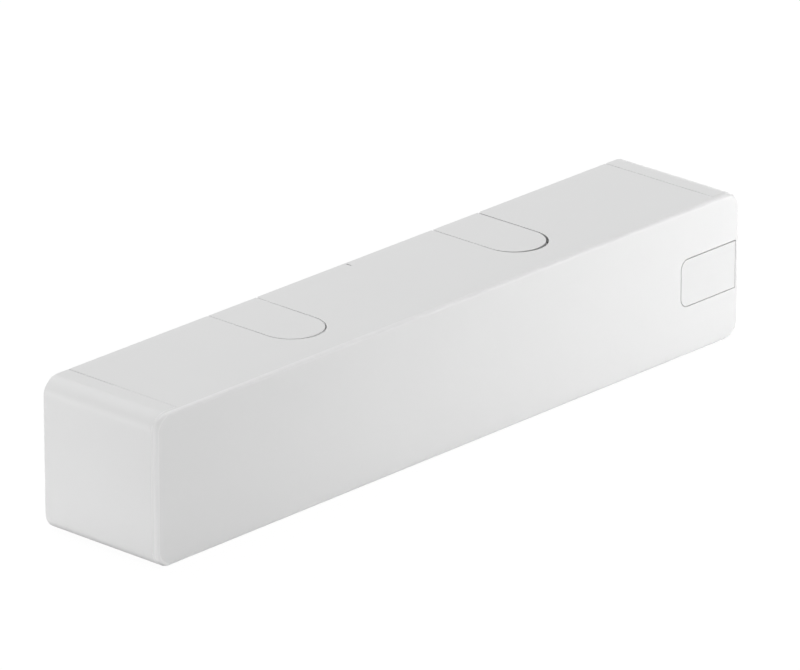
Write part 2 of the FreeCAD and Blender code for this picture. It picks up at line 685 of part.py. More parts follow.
def bearing_cap():
    """Screwed cap with a boss that reaches in and holds the bearing."""
    body = post(CAM_CHAMBER_R - THREAD_GAP, CAP_INNER_Z, HEAD_HALF_HEIGHT)
    boss = post(BOSS_R, BOSS_TO_MIDDLE, CAP_INNER_Z)
    flange = post(CAP_FLANGE_R, HEAD_HALF_HEIGHT, CAP_OUTER_Z)
    cutters = [post(BEARING_R, BOSS_TO_MIDDLE, CAP_OUTER_Z - CAP_LIP)]
    cutters.append(post(JOURNAL_R + HOLE_GAP, BOSS_TO_MIDDLE, CAP_OUTER_Z))
    for i in range(SPANNER_SLOTS):
        half = SPANNER_SLOT_WIDTH / 2
        slot = block(CAP_FLANGE_R - half, CAP_FLANGE_R + half, -half, half, HEAD_HALF_HEIGHT, CAP_OUTER_Z)
        slot.rotate(Vector(0, 0, 0), Z_AXIS, i * 360.0 / SPANNER_SLOTS)
        slot.translate(Vector(SPINDLE_X, AXIS_Y, 0))
        cutters.append(slot)
    return body.fuse([boss, flange]).cut(cutters)


def sleeve(z0, z1):
    """Ring between the journal and the cap's bore."""
    return post(BEARING_R - PIN_GAP, z0, z1).cut(post(JOURNAL_R + RUNNING_GAP, z0, z1))


def save_spindle():
    save("cam_spindle", cam_spindle())
    cap = bearing_cap()
    bearing = sleeve(BOSS_TO_MIDDLE, BOSS_TO_MIDDLE + BEARING_LENGTH)
    seal_top = CAP_OUTER_Z - CAP_LIP
    seal = sleeve(seal_top - SEAL_LENGTH, seal_top)
    save("top_bearing_cap", cap)
    save("bottom_bearing_cap", mirrored_z(cap))
    save("top_bearing", bearing)
    save("bottom_bearing", mirrored_z(bearing))
    save("shaft_seals", seal, mirrored_z(seal))


# Pistons
def forked_piston(head_length):
    """Piston on the +X side of its pin at the origin, fork towards -X."""
    r = BORE_R - RUNNING_GAP
    tail = POCKET_END + head_length
    piston = Part.makeCylinder(r, tail + FORK_NOSE, Vector(-FORK_NOSE, 0, 0), X_AXIS)
    rims = edges_at(piston, lambda p: p.x, tail) + edges_at(piston, lambda p: p.x, -FORK_NOSE)
    piston = piston.makeChamfer(PISTON_EDGE, rims)
    half = CAM_THICKNESS / 2 + FORK_GAP
    pocket = block(-FORK_NOSE, POCKET_END, -BORE_R, BORE_R, -half, half)
    pin_hole = post(ROLLER_PIN_R + PIN_GAP, -BORE_R, BORE_R, 0, 0)
    x0 = POCKET_END + head_length / 2
    return piston.cut([pocket, pin_hole, seal_ring(x0, 0.0, BORE_R)])


def seal_ring(x, gap, outer):
    """Seal in the piston's groove, or the groove itself where gap is 0."""
    width = PISTON_SEAL_WIDTH
    inner = BORE_R - RUNNING_GAP - PISTON_SEAL_DEPTH
    tube = Part.makeCylinder(outer, width - 2 * gap, Vector(x + gap, 0, 0), X_AXIS)
    return tube.cut(Part.makeCylinder(inner + gap, width, Vector(x, 0, 0), X_AXIS))


def roller_pin():
    half = BORE_R - ROLLER_PIN_INSET
    return post(ROLLER_PIN_R, -half, half, 0, 0)


def roller():
    half = ROLLER_THICKNESS / 2
    wheel = post(ROLLER_R, -half, half, 0, 0)
    wheel = wheel.cut(post(ROLLER_PIN_R + RUNNING_GAP, -half, half, 0, 0))
    rims = edges_at(wheel, lambda p: math.hypot(p.x, p.y), ROLLER_R)
    rims = [e for e in rims if not is_line_along(e, Z_AXIS)]
    return wheel.makeChamfer(PISTON_EDGE / 2, rims)


def ball_centre():
    """Ball to the start of its 45 degree seat, along the piston."""
    return (BALL_R + RUNNING_GAP) / math.cos(math.pi / 4) - BALL_HOLE_R


def ball_seat_x():
    """Start of the ball's seat, from the damper pin."""
    chamber = ball_centre() + BALL_R + BALL_LIFT + RETAINER_THICKNESS
    return POCKET_END + DAMPER_HEAD - chamber


def ball_passage():
    seat = ball_seat_x()
    cone_length = BALL_CHAMBER_R - BALL_HOLE_R
    tail = POCKET_END + DAMPER_HEAD
    hole = Part.makeCylinder(BALL_HOLE_R, seat - POCKET_END, Vector(POCKET_END, 0, 0), X_AXIS)
    cone = Part.makeCone(BALL_HOLE_R, BALL_CHAMBER_R, cone_length, Vector(seat, 0, 0), X_AXIS)
    start = Vector(seat + cone_length, 0, 0)
    chamber = Part.makeCylinder(BALL_CHAMBER_R, tail - seat - cone_length, start, X_AXIS)
    return hole.fuse([cone, chamber])


def ball_retainer():
    tail = POCKET_END + DAMPER_HEAD
    start = Vector(tail - RETAINER_THICKNESS, 0, 0)
    disc = Part.makeCylinder(BALL_CHAMBER_R - PIN_GAP, RETAINER_THICKNESS, start, X_AXIS)
    return disc.cut(Part.makeCylinder(RETAINER_HOLE_R, RETAINER_THICKNESS, start, X_AXIS))


def placed(shape, pin_x, side):
    """Shape made round a pin at the origin, set at its pin and turned to its side."""
    turned = shape if side > 0 else mirrored_x(shape)
    turned = turned.copy()
    turned.translate(Vector(pin_x, AXIS_Y, 0))
    return turned


def save_pistons():
    for name, pin_x, side, head in (("opening", OPENING_PIN_X, 1, OPENING_HEAD),
                                    ("damper", DAMPER_PIN_X, -1, DAMPER_HEAD)):
        piston = forked_piston(head)
        if name == "damper":
            piston = piston.cut(ball_passage())
        seal = seal_ring(POCKET_END + head / 2, SEAL_GAP, BORE_R - PIN_GAP)
        save(name + "_piston", placed(piston, pin_x, side))
        save(name + "_piston_seal", placed(seal, pin_x, side))
        save(name + "_roller_pin", placed(roller_pin(), pin_x, side))
        save(name + "_roller", placed(roller(), pin_x, side))
    ball = Part.makeSphere(BALL_R, Vector(ball_seat_x() + ball_centre(), 0, 0))
    save("check_ball", placed(ball, DAMPER_PIN_X, -1))
    save("check_ball_retainer", placed(ball_retainer(), DAMPER_PIN_X, -1))


# Springs and power adjustment
def spring_plate():
    x0, x1 = SPRING_PLATE_X, SPRING_PLATE_X + SPRING_PLATE_THICKNESS
    plate = rod(BORE_R - HOLE_GAP, x0, x1)
    reach = BORE_R + KEYWAY_DEPTH - KEY_GAP
    half = KEYWAY_WIDTH / 2 - KEY_GAP
    keys = block(x0, x1, AXIS_Y - reach, AXIS_Y + reach, -half, half)
    return plate.fuse(keys).cut(rod(ADJUSTER_R + RUNNING_GAP, x0, x1)).removeSplitter()


def adjusting_screw():
    end = BODY_END + PLUG_HEAD_THICKNESS + ADJUSTER_END
    shank = rod(ADJUSTER_R, ADJUSTER_X, end)
    collar_x = PLUG_FACE - SPRING_GAP
    collar = rod(ADJUSTER_COLLAR_R, collar_x - ADJUSTER_COLLAR_THICKNESS, collar_x)
    socket = hexagon(ADJUSTER_SOCKET, Vector(end, AXIS_Y, 0), -X_AXIS, ADJUSTER_SOCKET)
    return shank.fuse(collar).cut(socket)


def save_springs():
    closing_r = BORE_R - SPRING_SIDE_GAP - SPRING_WIRE_R
    damper_r = BORE_R - DAMPER_SIDE_GAP - DAMPER_WIRE_R
    save("closing_spring", coil(SPRING_WIRE_R, closing_r, SPRING_TURNS,
                                OPENING_TAIL + SPRING_GAP, SPRING_PLATE_X - SPRING_GAP))
    save("damper_spring", coil(DAMPER_WIRE_R, damper_r, DAMPER_TURNS,
                               SPRING_GAP - PLUG_FACE, DAMPER_TAIL - SPRING_GAP))
    save("spring_plate", spring_plate())
    save("adjusting_screw", adjusting_screw())


save_cover()
save_plate()
save_body()
save_spindle()
save_pistons()
save_springs()
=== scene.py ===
"""Looks for an overhead door closer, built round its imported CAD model."""
import json
import math

import bmesh
import bpy
from mathutils import Matrix, Vector


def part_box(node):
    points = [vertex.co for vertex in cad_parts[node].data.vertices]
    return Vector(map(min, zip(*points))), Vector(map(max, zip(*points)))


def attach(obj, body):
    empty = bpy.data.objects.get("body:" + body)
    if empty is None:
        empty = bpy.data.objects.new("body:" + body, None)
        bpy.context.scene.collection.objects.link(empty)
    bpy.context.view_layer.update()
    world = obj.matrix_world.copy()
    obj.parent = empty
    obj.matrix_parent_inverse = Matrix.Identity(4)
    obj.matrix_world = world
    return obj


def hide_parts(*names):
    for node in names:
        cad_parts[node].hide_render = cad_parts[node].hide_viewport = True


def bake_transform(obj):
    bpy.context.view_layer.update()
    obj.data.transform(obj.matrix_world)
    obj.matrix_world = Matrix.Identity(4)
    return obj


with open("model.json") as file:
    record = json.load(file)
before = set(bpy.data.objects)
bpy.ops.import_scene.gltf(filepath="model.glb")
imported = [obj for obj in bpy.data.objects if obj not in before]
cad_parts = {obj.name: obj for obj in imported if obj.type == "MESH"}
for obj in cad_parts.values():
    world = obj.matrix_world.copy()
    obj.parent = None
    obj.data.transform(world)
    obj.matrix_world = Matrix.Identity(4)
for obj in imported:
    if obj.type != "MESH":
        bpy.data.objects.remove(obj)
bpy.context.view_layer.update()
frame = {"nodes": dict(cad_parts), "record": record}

MM = 0.001

# Cover sizes in millimetres, the same as in the CAD model
HALF_LENGTH = 168.5
HALF_HEIGHT = 31.4
DEPTH = 60.0
WALL = 2.5
CORNER_R = 7.4                      # the four corners of the front view
FRONT_R = 1.8                       # rounding round the front face
INNER_HALF_HEIGHT = HALF_HEIGHT - WALL
END_WIDTH = 13.7                    # how far an end cap reaches along the top and bottom
LAP_LENGTH, LAP_THICKNESS = 4.0, 1.2
LAP_GAP = 0.1                       # laps and lips to the inside of the top and bottom
LAP_FRONT_GAP = 0.3                 # laps to the inside of the front
SLOT_X = 64.3
SLOT_Y = -32.2                      # middle of a slot's round end, in line with the cylinder bore
SLOT_HALF_WIDTH = 13.5
SLOT_MOUTH_R = 1.4
TONGUE_LIP = 1.6                    # under the cover beyond the slot's edge
TONGUE_LIP_THICKNESS = 1.2
BADGE_LEFT, BADGE_RIGHT, BADGE_HALF_HEIGHT = 133.3, 166.1, 10.0
BADGE_THICKNESS = 0.8
BADGE_CORNER_R = 4.0

# Fits and roundings in millimetres, as the photo shows them, made only here
END_SEAM = {-1: 0.19, 1: 0.22}      # left and right
SEAM_SHUT = 0.04                    # what is left of the seam at the front
SEAM_NARROWS = {-1: (-16.0, -36.0), 1: (-47.5, -57.5)}  # from and to, along Y
TONGUE_GAP = {"left": 0.36, "right": 0.42}
TONGUE_NOSE_GAP = {"left": 0.45, "right": 0.8}          # further gap at the round end
TONGUE_BACK_GAP = {"left": 0.12, "right": 0.42}
TONGUE_SHIFT = {"left": 0.0, "right": -0.1}             # towards the left end
TONGUE_BACK_INSET = 0.1
TONGUE_NOSE_LIP = {"left": 1.6, "right": 0.0}
LAP_BACK_INSET = 0.02
LAP_OVERLAP = 0.05                  # lap's root in the end cap's wall
BADGE_GAP = 0.3
MARK_WIDTH, MARK_LENGTH, MARK_DEPTH, MARK_INSET = 0.8, 2.6, 0.6, 0.9
EDGE = 0.22                         # rounding of the moulded edges
FINE_EDGE = 0.12                    # rounding of the badge and the clips

# Mesh making, in millimetres and degrees
PAST = 10.0                         # how far the largest cutting shapes reach past the cover
DOUBLES = 0.002                     # points nearer than this are one
COPY_DOUBLES = 0.001                # the same for copies of the CAD model's meshes
FLAT = 0.4                          # facets that turn less than this are one
LATHE_CORE = 0.02                   # radius at which a turned shape closes on its axis


# Mesh helpers
def arc(cx, cy, r, start, stop, steps):
    """Points on an arc, in degrees, both ends included."""
    turns = [math.radians(start + (stop - start) * i / steps) for i in range(steps + 1)]
    return [(cx + r * math.cos(t), cy + r * math.sin(t)) for t in turns]


def rounded_outline(half_x, half_z, r, steps=14):
    x, z = half_x - r, half_z - r
    points = arc(x, z, r, 0, 90, steps) + arc(-x, z, r, 90, 180, steps)
    return points + arc(-x, -z, r, 180, 270, steps) + arc(x, -z, r, 270, 360, steps)


def loft(name, loops):
    """Closed solid through loops of points in millimetres, all with the same number of points."""
    bm = bmesh.new()
    rings = [[bm.verts.new([c * MM for c in p]) for p in loop] for loop in loops]
    count = len(loops[0])
    for near, far in zip(rings, rings[1:]):
        for i in range(count):
            bm.faces.new((near[i], near[(i + 1) % count], far[(i + 1) % count], far[i]))
    bm.faces.new(reversed(rings[0]))
    bm.faces.new(rings[-1])
    bmesh.ops.recalc_face_normals(bm, faces=bm.faces)
    return as_object(name, bm)


def as_object(name, bm):
    mesh = bpy.data.meshes.new(name)
    bm.to_mesh(mesh)
    bm.free()
    made = bpy.data.objects.new(name, mesh)
    bpy.context.scene.collection.objects.link(made)
    return made


def along_y(name, outline, y0, y1):
    return loft(name, [[(x, y, z) for x, z in outline] for y in (y0, y1)])


def along_z(name, outline, z0, z1):
    return loft(name, [[(x, y, z) for x, y in outline] for z in (z0, z1)])


def brick(name, x0, x1, y0, y1, z0, z1):
    return along_z(name, [(x0, y0), (x1, y0), (x1, y1), (x0, y1)], z0, z1)


def settle(piece):
    """Replaces the piece's mesh by what its modifiers make of it."""
    bpy.context.view_layer.update()
    depsgraph = bpy.context.evaluated_depsgraph_get()
    mesh = bpy.data.meshes.new_from_object(piece.evaluated_get(depsgraph))
    piece.modifiers.clear()
    piece.data = mesh
    return piece


def carve(piece, tools, operation="DIFFERENCE"):
    """Cuts the tools out of the piece, or joins or crosses them with it, and uses them up."""
    for tool in tools:
        step = piece.modifiers.new("carve", "BOOLEAN")
        step.operation = operation
        step.solver = "EXACT"
        step.object = tool
    settle(piece)
    for tool in tools:
        bpy.data.objects.remove(tool)
    return piece


def tidy(piece):
    """Merges doubles and flat facets, so that the edges can be rounded."""
    bm = bmesh.new()
    bm.from_mesh(piece.data)
    bmesh.ops.remove_doubles(bm, verts=bm.verts, dist=DOUBLES * MM)
    bmesh.ops.dissolve_limit(bm, angle_limit=math.radians(FLAT), verts=bm.verts, edges=bm.edges)
    bmesh.ops.recalc_face_normals(bm, faces=bm.faces)
    bm.to_mesh(piece.data)
    bm.free()
    return piece


def weigh_normals(piece):
    """Lets the large faces set the shading, so that flats look flat."""
    flats = piece.modifiers.new("flats", "WEIGHTED_NORMAL")
    flats.keep_sharp = True
    return settle(piece)


def round_edges(piece, width=EDGE, segments=3, limit=35):
    """Rounds the edges that turn more than limit degrees. Nothing gets past the door's plane."""
    tidy(piece)
    for polygon in piece.data.polygons:
        polygon.use_smooth = True
    bevel = piece.modifiers.new("edges", "BEVEL")
    bevel.width = width * MM
    bevel.segments = segments
    bevel.limit_method = "ANGLE"
    bevel.angle_limit = math.radians(limit)
    bevel.use_clamp_overlap = False
    weigh_normals(piece)
    for vertex in piece.data.vertices:
        vertex.co.y = min(vertex.co.y, 0.0)
    return piece


# Cover
def cover_form(name, inset, back, edge_r, edge_steps=8):
    """The cover's form, in by inset from its outside, with a rounded front edge."""
    half_x, half_z, r = HALF_LENGTH - inset, HALF_HEIGHT - inset, CORNER_R - inset
    front = inset - DEPTH
    stations = [(back, 0.0)]
    for i in range(edge_steps + 1 if edge_r else 1):
        turn = math.radians(90 * i / edge_steps)
        stations.append((front + edge_r * (1 - math.sin(turn)), edge_r * (1 - math.cos(turn))))
    loops = []
    for y, pull in stations:
        outline = rounded_outline(half_x - pull, half_z - pull, r - pull)
        loops.append([(x, y, z) for x, z in outline])
    return loft(name, loops)


def slot_outline(x, half, nose_y, back_y, mouth_r):
    """U with its round end at nose_y. With mouth_r, its mouth is rounded and reaches past back_y."""
    mid_y = nose_y + half
    points = arc(x, mid_y, half, 180, 360, 60)
    if mouth_r:
        wider, further = 0.5, 0.4
        right = arc(x + half + mouth_r, back_y - mouth_r, mouth_r, 180, 105, 7)
        points += right + [(right[-1][0] + wider, back_y + further)]
        left = arc(x - half - mouth_r, back_y - mouth_r, mouth_r, 75, 0, 7)
        points += [(left[0][0] - wider, back_y + further)] + left
    else:
        points += [(x + half, back_y), (x - half, back_y)]
    return points


def badge_outline(gap):
    left, right, half = BADGE_LEFT - gap, BADGE_RIGHT + gap, BADGE_HALF_HEIGHT + gap
    r = BADGE_CORNER_R + gap
    points = arc(left + r, half - r, r, 90, 180, 16) + arc(left + r, r - half, r, 180, 270, 16)
    return points + [(right, -half), (right, half)]


def end_space(side, seam=0.0, shut=0.0):
    """Room of an end cap. Its seam narrows towards the front."""
    front = WALL - DEPTH
    wide_to, narrow_from = SEAM_NARROWS[side]
    wide, narrow = END_WIDTH + seam, END_WIDTH + shut
    outline = [(wide, PAST), (wide, wide_to), (narrow, narrow_from)]
    if narrow_from > front:
        outline.append((narrow, front))
    outline += [(-PAST, front), (-PAST, PAST)]
    corners = [(side * (HALF_LENGTH - reach), y) for reach, y in outline]
    return along_z("end space", corners, -HALF_HEIGHT - PAST, HALF_HEIGHT + PAST)


def hollow_cover(name):
    return carve(cover_form(name, 0.0, 0.0, FRONT_R), [cover_form("hollow", WALL, PAST / 2, 0.0)])


def front_shell():
    tools = [end_space(side, END_SEAM[side], SEAM_SHUT) for side in (-1, 1)]
    nose = SLOT_Y - SLOT_HALF_WIDTH
    for side in (-1, 1):
        outline = slot_outline(side * SLOT_X, SLOT_HALF_WIDTH, nose, 0.0, SLOT_MOUTH_R)
        tools.append(along_z("slot", outline, -HALF_HEIGHT - PAST / 2, HALF_HEIGHT + PAST / 2))
        z0, z1 = sorted((side * (HALF_HEIGHT - MARK_DEPTH), side * (HALF_HEIGHT + 1)))
        y0, y1 = -MARK_INSET - MARK_LENGTH, -MARK_INSET
        tools.append(brick("mark", -MARK_WIDTH / 2, MARK_WIDTH / 2, y0, y1, z0, z1))
    outline = badge_outline(BADGE_GAP)
    tools.append(along_y("badge space", outline, -DEPTH - 1, BADGE_THICKNESS - DEPTH))
    return round_edges(carve(hollow_cover("cover_front_shell"), tools))


def end_cap(name, side):
    cap = carve(hollow_cover(name), [end_space(side)], "INTERSECT")
    seam = side * (HALF_LENGTH - END_WIDTH)
    reach = [seam - LAP_LENGTH, seam + LAP_LENGTH]
    root = sorted((seam, seam + side * LAP_LENGTH))
    y0, y1 = WALL - DEPTH + LAP_FRONT_GAP, -LAP_BACK_INSET
    top = INNER_HALF_HEIGHT - LAP_GAP
    laps = []
    for up in (-1, 1):
        z0, z1 = sorted((up * (top - LAP_THICKNESS), up * top))
        lap = brick("lap", *reach, y0, y1, z0, z1)
        z0, z1 = sorted((up * (top - LAP_THICKNESS), up * (INNER_HALF_HEIGHT + LAP_OVERLAP)))
        laps += [lap, brick("lap root", *root, y0, y1, z0, z1)]
    return round_edges(carve(cap, laps, "UNION"))


def tongue(name, side, up):
    """Blank that closes a slot, flush with the cover, with a lip under the cover's edge."""
    x = (-SLOT_X if side == "left" else SLOT_X) + TONGUE_SHIFT[side]
    nose = SLOT_Y - SLOT_HALF_WIDTH + TONGUE_GAP[side] + TONGUE_NOSE_GAP[side]
    back = -TONGUE_BACK_INSET
    z0 = INNER_HALF_HEIGHT - LAP_GAP - TONGUE_LIP_THICKNESS
    half = SLOT_HALF_WIDTH - TONGUE_GAP[side]
    back_half = SLOT_HALF_WIDTH - TONGUE_BACK_GAP[side]
    outline = slot_outline(x, half, nose, back, 0.0)[:-2]
    outline += [(x + back_half, back), (x - back_half, back)]
    plate = along_z(name, outline, z0, HALF_HEIGHT)
    lip_nose = nose - TONGUE_NOSE_LIP[side]
    lip_outline = slot_outline(x, SLOT_HALF_WIDTH + TONGUE_LIP, lip_nose, back, 0.0)
    lip = along_z("lip", lip_outline, z0, z0 + TONGUE_LIP_THICKNESS)
    piece = carve(plate, [lip], "UNION")
    if up < 0:
        piece.data.transform(Matrix.Scale(-1, 4, (0, 0, 1)))
        piece.data.flip_normals()
    return round_edges(piece)


def badge():
    plate = along_y("badge_blank", badge_outline(0.0), -DEPTH, BADGE_THICKNESS - DEPTH)
    return round_edges(plate, FINE_EDGE, segments=2)


# Node graphs
class Signal:
    """A node's socket that works in sums."""

    def __init__(self, graph, socket):
        self.graph, self.socket = graph, socket

    def beside(self, output):
        """Another output of the same node."""
        return Signal(self.graph, self.socket.node.outputs[output])

    def sum(self, operation, *terms):
        return self.graph.node("ShaderNodeMath", {"operation": operation}, dict(enumerate(terms)))

    def __add__(self, other):
        return self.sum("ADD", self, other)

    def __sub__(self, other):
        return self.sum("SUBTRACT", self, other)

    def __rsub__(self, other):
        return self.sum("SUBTRACT", other, self)

    def __mul__(self, other):
        return self.sum("MULTIPLY", self, other)

    def __truediv__(self, other):
        return self.sum("DIVIDE", self, other)

    def __pow__(self, other):
        return self.sum("POWER", self, other)

    __radd__ = __add__
    __rmul__ = __mul__

    def clamp(self, low=0.0, high=1.0):
        return self.sum("MINIMUM", self.sum("MAXIMUM", self, low), high)

    def span(self, low, high):
        """0 below low, 1 above high."""
        return ((self - low) / (high - low)).clamp()

    def size(self):
        return self.sum("ABSOLUTE", self)

    def cosine(self):
        return self.sum("COSINE", self)

    def sine(self):
        return self.sum("SINE", self)


class Graph:
    """A tree of nodes under construction."""

    def node(self, kind, settings=None, sockets=None, output=0):
        made = self.tree.nodes.new(kind)
        for key, value in (settings or {}).items():
            setattr(made, key, value)
        for key, value in (sockets or {}).items():
            if isinstance(value, Signal):
                self.tree.links.new(value.socket, made.inputs[key])
            else:
                made.inputs[key].default_value = value
        return Signal(self, made.outputs[output])

    def end(self, kind, sockets):
        """The tree's last node, which has no outputs."""
        made = self.tree.nodes.new(kind)
        for key, value in sockets.items():
            self.tree.links.new(value.socket, made.inputs[key])


class Pattern(Graph):
    """A geometry node tree with named inputs."""

    KINDS = {float: "Float", int: "Int", bpy.types.Object: "Object", bpy.types.Material: "Material"}

    def __init__(self, name, inputs):
        self.tree = bpy.data.node_groups.new(name, "GeometryNodeTree")
        self.tree.interface.new_socket("Geometry", in_out="OUTPUT", socket_type="NodeSocketGeometry")
        self.inputs = {}
        for label, value in inputs.items():
            kind = "NodeSocket" + self.KINDS[type(value)]
            item = self.tree.interface.new_socket(label, in_out="INPUT", socket_type=kind)
            self.inputs[item.identifier] = value
        self.source = self.tree.nodes.new("NodeGroupInput")

    def given(self, label):
        return Signal(self, self.source.outputs[label])

    def piece(self, name, geometry):
        """Plain mesh of the pattern, in the finish that it was given."""
        solid = self.node("GeometryNodeRealizeInstances", sockets={"Geometry": geometry})
        sockets = {"Geometry": solid, "Material": self.given("Finish")}
        self.end("NodeGroupOutput", {"Geometry": self.node("GeometryNodeSetMaterial", sockets=sockets)})
        made = as_object(name, bmesh.new())
        modifier = made.modifiers.new("pattern", "NODES")
        modifier.node_group = self.tree
        for key, value in self.inputs.items():
            modifier[key] = value
        return settle(made)


# Finishes
class Finish(Graph):
    """A node material under construction."""

    def __init__(self, name):
        self.material = bpy.data.materials.new(name)
        self.material.use_nodes = True
        self.tree = self.material.node_tree
        self.tree.nodes.clear()

    def place(self, stretch=(1.0, 1.0, 1.0)):
        """Object coordinates in millimetres, stretched by axis."""
        where = self.node("ShaderNodeTexCoord", output="Object")
        scale = [share / MM for share in stretch]
        return self.node("ShaderNodeMapping", sockets={"Vector": where, "Scale": scale})

    def noise(self, size, detail=2.0, roughness=0.5, stretch=(1.0, 1.0, 1.0)):
        """Noise of 0 to 1 whose grain is about size millimetres."""
        sockets = {"Vector": self.place(stretch), "Scale": 1.0 / size,
                   "Detail": detail, "Roughness": roughness}
        return self.node("ShaderNodeTexNoise", sockets=sockets)

    def mix(self, factor, low, high):
        """Colour between low, at factor 0, and high, at factor 1."""
        sockets = {"Factor": factor, 6: self.colour(low), 7: self.colour(high)}
        return self.node("ShaderNodeMix", {"data_type": "RGBA"}, sockets, 2)

    def colour(self, value):
        return value if isinstance(value, Signal) else (*value, 1.0)

    def bump(self, height, depth, under=None):
        """Normal from height, whose full swing is depth millimetres."""
        sockets = {"Height": height, "Distance": depth * MM, "Strength": 1.0}
        if under is not None:
            sockets["Normal"] = under
        return self.node("ShaderNodeBump", sockets=sockets)

    def soft_edge(self, radius):
        """Normal that rounds the edges by radius millimetres."""
        return self.node("ShaderNodeBevel", {"samples": 4}, {"Radius": radius * MM})

    def crevice(self, reach):
        """1 deep in a gap narrower than reach millimetres, 0 on open surfaces."""
        settings = {"samples": 8, "only_local": False}
        return 1 - self.node("ShaderNodeAmbientOcclusion", settings, {"Distance": reach * MM}, "AO")

    def facing(self):
        """How far the surface faces along x, y and z, each -1 to 1."""
        return self.parts(self.node("ShaderNodeNewGeometry", output="Normal"))

    def parts(self, vector):
        """The vector's x, y and z."""
        x = self.node("ShaderNodeSeparateXYZ", sockets={0: vector})
        return x, x.beside(1), x.beside(2)

    def shade(self, **sockets):
        names = {key.replace("_", " "): value for key, value in sockets.items()}
        return self.output(self.node("ShaderNodeBsdfPrincipled", sockets=names))

    def output(self, surface):
        self.end("ShaderNodeOutputMaterial", {"Surface": surface})
        return self.material


def cover_white():
    f = Finish("moulded white")
    cloud = f.noise(34.0, 3.0)
    grain = f.noise(0.55, 2.0)
    peel = f.noise(2.6, 1.0)
    shade = f.mix(cloud, (0.797, 0.798, 0.798), (0.813, 0.814, 0.813))
    x, y, z = f.parts(f.place())
    side, front, up = f.facing()

    # Painted highlight: paler rims along the front's edges, palest at the left end
    upright = (2.0 * side.size() * front.size()).clamp()
    beside = 0.75 * side.size().span(0.02, 0.10) * front.size().span(0.3, 0.6)
    upright = upright.sum("MAXIMUM", upright, beside)
    top = up.span(0.45, 0.75) * (1 - up.span(0.93, 0.995)) * front.size().span(0.1, 0.3)
    rim = f.mix(x.span(-160.0, 100.0), (0.97, 0.97, 0.97), (0.81, 0.81, 0.81))
    shade = f.mix(upright.sum("MAXIMUM", upright, top), shade, rim)

    # Painted shade: darker rounding under the ends, on faces turned downwards
    foot = (0 - up).span(0.40, 0.80) * side.size().span(0.2, 0.4)
    shade = f.mix(foot, shade, (0.55, 0.55, 0.55))

    # Painted shade in the hairline gaps, where the occlusion is deep, and painted light and shade on
    # each slot's round end wall, pale left and dark right
    from_nose = ((x.size() - SLOT_X) ** 2.0 + (y - SLOT_Y) ** 2.0) ** 0.5 - SLOT_HALF_WIDTH
    gap = f.crevice(1.1).span(0.25, 0.95) * from_nose.span(-0.2, 0.0)
    shade = f.mix(gap, shade, (0.46, 0.46, 0.46))
    below = (HALF_HEIGHT - z.size()).span(0.1, 0.3)
    wall = from_nose.span(-0.2, -0.1) * (1 - from_nose.span(0.8, 1.3)) * below
    slot_wall_light_and_shade = f.mix(x.span(-1.0, 1.0), (0.90, 0.90, 0.90), (0.44, 0.44, 0.44))
    shade = f.mix(wall, shade, slot_wall_light_and_shade)

    rough = 0.40 + 0.06 * grain + 0.05 * cloud
    normal = f.bump(grain, 0.004, f.bump(peel, 0.010))
    return f.shade(Base_Color=shade, Roughness=rough, Normal=normal)


def badge_satin():
    f = Finish("badge satin")
    drawn = f.noise(0.6, 2.0, stretch=(0.05, 1.0, 1.0))
    cloud = f.noise(9.0, 2.0)
    shade = f.mix(cloud, (0.790, 0.792, 0.792), (0.806, 0.807, 0.806))
    return f.shade(Base_Color=shade, Roughness=0.30 + 0.08 * drawn, Normal=f.bump(drawn, 0.003))


def zinc_plate():
    f = Finish("zinc plate")
    cloud = f.noise(14.0, 4.0)
    sockets = {"Vector": f.place(), "Scale": 1 / 2.2}
    spangle = f.node("ShaderNodeTexVoronoi", {"feature": "F1"}, sockets, "Color")
    flake = f.node("ShaderNodeSeparateColor", sockets={"Color": spangle})
    scratch = f.noise(0.8, 3.0, stretch=(0.06, 1.0, 1.0))
    shade = f.mix(cloud * 0.6 + flake * 0.3, (0.38, 0.395, 0.41), (0.55, 0.55, 0.555))
    rough = 0.30 + 0.12 * cloud + 0.08 * scratch
    normal = f.bump(scratch, 0.006, f.soft_edge(0.3))
    return f.shade(Base_Color=shade, Metallic=0.9, Roughness=rough, Normal=normal)


def cast_body():
    f = Finish("cast body")
    grain = f.noise(0.7, 3.0, 0.6)
    lumps = f.noise(5.0, 2.0)
    cloud = f.noise(26.0, 3.0)
    shade = f.mix(cloud, (0.42, 0.43, 0.44), (0.56, 0.565, 0.57))
    rough = 0.46 + 0.16 * grain
    normal = f.bump(grain, 0.03, f.bump(lumps, 0.06, f.soft_edge(0.5)))
    return f.shade(Base_Color=shade, Metallic=0.72, Roughness=rough, Normal=normal)


def plain_steel():
    f = Finish("plain steel")
    cloud = f.noise(8.0, 3.0)
    ground = f.noise(0.35, 3.0)
    shade = f.mix(cloud, (0.52, 0.52, 0.53), (0.64, 0.64, 0.645))
    rough = 0.22 + 0.10 * cloud + 0.07 * ground
    normal = f.bump(ground, 0.002, f.soft_edge(0.25))
    return f.shade(Base_Color=shade, Metallic=1.0, Roughness=rough, Normal=normal)


def spring_steel():
    f = Finish("spring steel")
    cloud = f.noise(11.0, 4.0)
    scale = f.noise(0.5, 3.0)
    shade = f.mix(cloud, (0.13, 0.13, 0.15), (0.27, 0.265, 0.26))
    rough = 0.30 + 0.14 * scale
    return f.shade(Base_Color=shade, Metallic=0.95, Roughness=rough, Normal=f.bump(scale, 0.004))


def black_screw():
    f = Finish("black oxide")
    cloud = f.noise(3.0, 3.0)
    grain = f.noise(0.3, 2.0)
    shade = f.mix(cloud, (0.030, 0.030, 0.033), (0.075, 0.073, 0.070))
    rough = 0.32 + 0.12 * grain
    normal = f.bump(grain, 0.003, f.soft_edge(0.2))
    return f.shade(Base_Color=shade, Metallic=0.85, Roughness=rough, Normal=normal)


